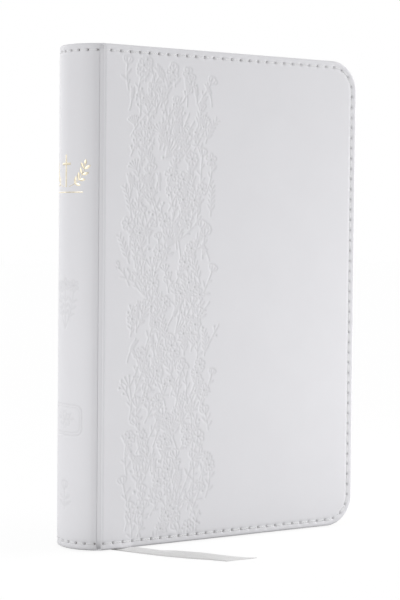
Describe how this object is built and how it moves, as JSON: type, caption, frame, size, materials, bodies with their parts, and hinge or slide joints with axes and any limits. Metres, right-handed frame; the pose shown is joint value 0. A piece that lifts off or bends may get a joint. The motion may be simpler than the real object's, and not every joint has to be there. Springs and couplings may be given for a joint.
{
  "type": "prayer book",
  "caption": "Standing soft-cover book: stitched white covers that open on a round spine, sewn leaves that fan from the gutter, headbands and a ribbon marker.",
  "frame": {"origin": "tail end of the spine, in the middle of its turned-in wall at the apex of the round back, which is on the plane the book stands on", "axes": "+X from the spine to the fore-edge, +Y from the front cover to the back cover, +Z from the tail to the head"},
  "size_m": [0.1475, 0.0782, 0.2186],
  "materials": {
    "cover_leather": "soft white imitation leather, fine grain, satin",
    "stitching_thread": "white twisted thread, matt",
    "cover_board": "grey-brown liner board, matt",
    "stiffener_card": "thin card, matt",
    "endpaper": "smooth off-white endpaper",
    "page_paper": "thin paper, trimmed edges with pale gilding",
    "lining_paper": "brown kraft paper, matt",
    "mull_cloth": "open cotton mull, matt",
    "band_cloth": "white and grey striped band cloth",
    "sewing_thread": "natural linen thread",
    "spine_foil": "pale champagne hot foil",
    "ribbon_satin": "grey-white satin ribbon"
  },
  "bodies": {
    "root": {"spine_skin": "cover_leather", "spine_stiffener": "stiffener_card", "spine_head_stitching": "stitching_thread", "spine_tail_stitching": "stitching_thread", "spine_lining": "lining_paper", "spine_mull": "mull_cloth", "headband": "band_cloth", "tailband": "band_cloth", "sewing_thread": "sewing_thread", "ribbon_marker": "ribbon_satin", "signature_01_fold": "page_paper", "signature_02_fold": "page_paper", "signature_03_fold": "page_paper", "signature_04_fold": "page_paper", "signature_05_fold": "page_paper", "signature_06_fold": "page_paper", "signature_07_fold": "page_paper", "signature_08_fold": "page_paper", "signature_09_fold": "page_paper", "signature_10_fold": "page_paper", "signature_11_fold": "page_paper", "signature_12_fold": "page_paper", "signature_13_fold": "page_paper", "signature_14_fold": "page_paper", "signature_15_fold": "page_paper", "signature_16_fold": "page_paper"},
    "front_cover": {"front_cover_skin": "cover_leather", "front_cover_board": "cover_board", "front_pastedown": "endpaper", "front_cover_stitching": "stitching_thread"},
    "front_flyleaf": {"front_flyleaf": "endpaper"},
    "back_cover": {"back_cover_skin": "cover_leather", "back_cover_board": "cover_board", "back_pastedown": "endpaper", "back_cover_stitching": "stitching_thread"},
    "back_flyleaf": {"back_flyleaf": "endpaper"},
    "signature_01": {"signature_01_leaves": "page_paper"},
    "signature_02": {"signature_02_leaves": "page_paper"},
    "signature_03": {"signature_03_leaves": "page_paper"},
    "signature_04": {"signature_04_leaves": "page_paper"},
    "signature_05": {"signature_05_leaves": "page_paper"},
    "signature_06": {"signature_06_leaves": "page_paper"},
    "signature_07": {"signature_07_leaves": "page_paper"},
    "signature_08": {"signature_08_leaves": "page_paper"},
    "signature_09": {"signature_09_leaves": "page_paper"},
    "signature_10": {"signature_10_leaves": "page_paper"},
    "signature_11": {"signature_11_leaves": "page_paper"},
    "signature_12": {"signature_12_leaves": "page_paper"},
    "signature_13": {"signature_13_leaves": "page_paper"},
    "signature_14": {"signature_14_leaves": "page_paper"},
    "signature_15": {"signature_15_leaves": "page_paper"},
    "signature_16": {"signature_16_leaves": "page_paper"},
    "ribbon_tail": {"ribbon_tail": "ribbon_satin"}
  },
  "joints": [
    {"name": "back_cover_hinge", "type": "hinge", "parent": "root", "child": "back_cover", "pos_m": [0.0089, 0.0164, 0.109], "axis": [0, 0, 1], "range_deg": [0, 176]},
    {"name": "back_flyleaf_gutter", "type": "hinge", "parent": "root", "child": "back_flyleaf", "pos_m": [0.0124, 0.01337, 0.109], "axis": [0, 0, 1], "range_deg": [0, 105.6]},
    {"name": "front_cover_hinge", "type": "hinge", "parent": "root", "child": "front_cover", "pos_m": [0.0089, -0.0164, 0.109], "axis": [0, 0, -1], "range_deg": [0, 176]},
    {"name": "front_flyleaf_gutter", "type": "hinge", "parent": "root", "child": "front_flyleaf", "pos_m": [0.0124, -0.01337, 0.109], "axis": [0, 0, -1], "range_deg": [0, 105.6]},
    {"name": "ribbon_swing", "type": "hinge", "parent": "root", "child": "ribbon_tail", "pos_m": [0.0133, 0, -0.00045], "axis": [0, 0, 1], "range_deg": [-25, 35]},
    {"name": "signature_01_gutter", "type": "hinge", "parent": "root", "child": "signature_01", "pos_m": [0.0134, -0.0123, 0.109], "axis": [0, 0, -1], "range_deg": [0, 88]},
    {"name": "signature_02_gutter", "type": "hinge", "parent": "root", "child": "signature_02", "pos_m": [0.0147, -0.01072, 0.109], "axis": [0, 0, -1], "range_deg": [0, 77]},
    {"name": "signature_03_gutter", "type": "hinge", "parent": "root", "child": "signature_03", "pos_m": [0.01575, -0.00914, 0.109], "axis": [0, 0, -1], "range_deg": [0, 66]},
    {"name": "signature_04_gutter", "type": "hinge", "parent": "root", "child": "signature_04", "pos_m": [0.0166, -0.00756, 0.109], "axis": [0, 0, -1], "range_deg": [0, 55]},
    {"name": "signature_05_gutter", "type": "hinge", "parent": "root", "child": "signature_05", "pos_m": [0.01725, -0.00598, 0.109], "axis": [0, 0, -1], "range_deg": [0, 44]},
    {"name": "signature_06_gutter", "type": "hinge", "parent": "root", "child": "signature_06", "pos_m": [0.01773, -0.0044, 0.109], "axis": [0, 0, -1], "range_deg": [0, 33]},
    {"name": "signature_07_gutter", "type": "hinge", "parent": "root", "child": "signature_07", "pos_m": [0.01804, -0.00282, 0.109], "axis": [0, 0, -1], "range_deg": [0, 22]},
    {"name": "signature_08_gutter", "type": "hinge", "parent": "root", "child": "signature_08", "pos_m": [0.0182, -0.00124, 0.109], "axis": [0, 0, -1], "range_deg": [0, 11]},
    {"name": "signature_09_gutter", "type": "hinge", "parent": "root", "child": "signature_09", "pos_m": [0.0182, 0.00124, 0.109], "axis": [0, 0, 1], "range_deg": [0, 11]},
    {"name": "signature_10_gutter", "type": "hinge", "parent": "root", "child": "signature_10", "pos_m": [0.01804, 0.00282, 0.109], "axis": [0, 0, 1], "range_deg": [0, 22]},
    {"name": "signature_11_gutter", "type": "hinge", "parent": "root", "child": "signature_11", "pos_m": [0.01773, 0.0044, 0.109], "axis": [0, 0, 1], "range_deg": [0, 33]},
    {"name": "signature_12_gutter", "type": "hinge", "parent": "root", "child": "signature_12", "pos_m": [0.01725, 0.00598, 0.109], "axis": [0, 0, 1], "range_deg": [0, 44]},
    {"name": "signature_13_gutter", "type": "hinge", "parent": "root", "child": "signature_13", "pos_m": [0.0166, 0.00756, 0.109], "axis": [0, 0, 1], "range_deg": [0, 55]},
    {"name": "signature_14_gutter", "type": "hinge", "parent": "root", "child": "signature_14", "pos_m": [0.01575, 0.00914, 0.109], "axis": [0, 0, 1], "range_deg": [0, 66]},
    {"name": "signature_15_gutter", "type": "hinge", "parent": "root", "child": "signature_15", "pos_m": [0.0147, 0.01072, 0.109], "axis": [0, 0, 1], "range_deg": [0, 77]},
    {"name": "signature_16_gutter", "type": "hinge", "parent": "root", "child": "signature_16", "pos_m": [0.0134, 0.0123, 0.109], "axis": [0, 0, 1], "range_deg": [0, 88]}
  ],
  "couplings": [
    {"joint": "front_flyleaf_gutter", "follows": "front_cover_hinge", "ratio": 0.6},
    {"joint": "back_flyleaf_gutter", "follows": "back_cover_hinge", "ratio": 0.6},
    {"joint": "signature_01_gutter", "follows": "front_cover_hinge", "ratio": 0.5},
    {"joint": "signature_16_gutter", "follows": "back_cover_hinge", "ratio": 0.5},
    {"joint": "signature_02_gutter", "follows": "front_cover_hinge", "ratio": 0.4375},
    {"joint": "signature_15_gutter", "follows": "back_cover_hinge", "ratio": 0.4375},
    {"joint": "signature_03_gutter", "follows": "front_cover_hinge", "ratio": 0.375},
    {"joint": "signature_14_gutter", "follows": "back_cover_hinge", "ratio": 0.375},
    {"joint": "signature_04_gutter", "follows": "front_cover_hinge", "ratio": 0.3125},
    {"joint": "signature_13_gutter", "follows": "back_cover_hinge", "ratio": 0.3125},
    {"joint": "signature_05_gutter", "follows": "front_cover_hinge", "ratio": 0.25},
    {"joint": "signature_12_gutter", "follows": "back_cover_hinge", "ratio": 0.25},
    {"joint": "signature_06_gutter", "follows": "front_cover_hinge", "ratio": 0.1875},
    {"joint": "signature_11_gutter", "follows": "back_cover_hinge", "ratio": 0.1875},
    {"joint": "signature_07_gutter", "follows": "front_cover_hinge", "ratio": 0.125},
    {"joint": "signature_10_gutter", "follows": "back_cover_hinge", "ratio": 0.125},
    {"joint": "signature_08_gutter", "follows": "front_cover_hinge", "ratio": 0.0625},
    {"joint": "signature_09_gutter", "follows": "back_cover_hinge", "ratio": 0.0625}
  ]
}
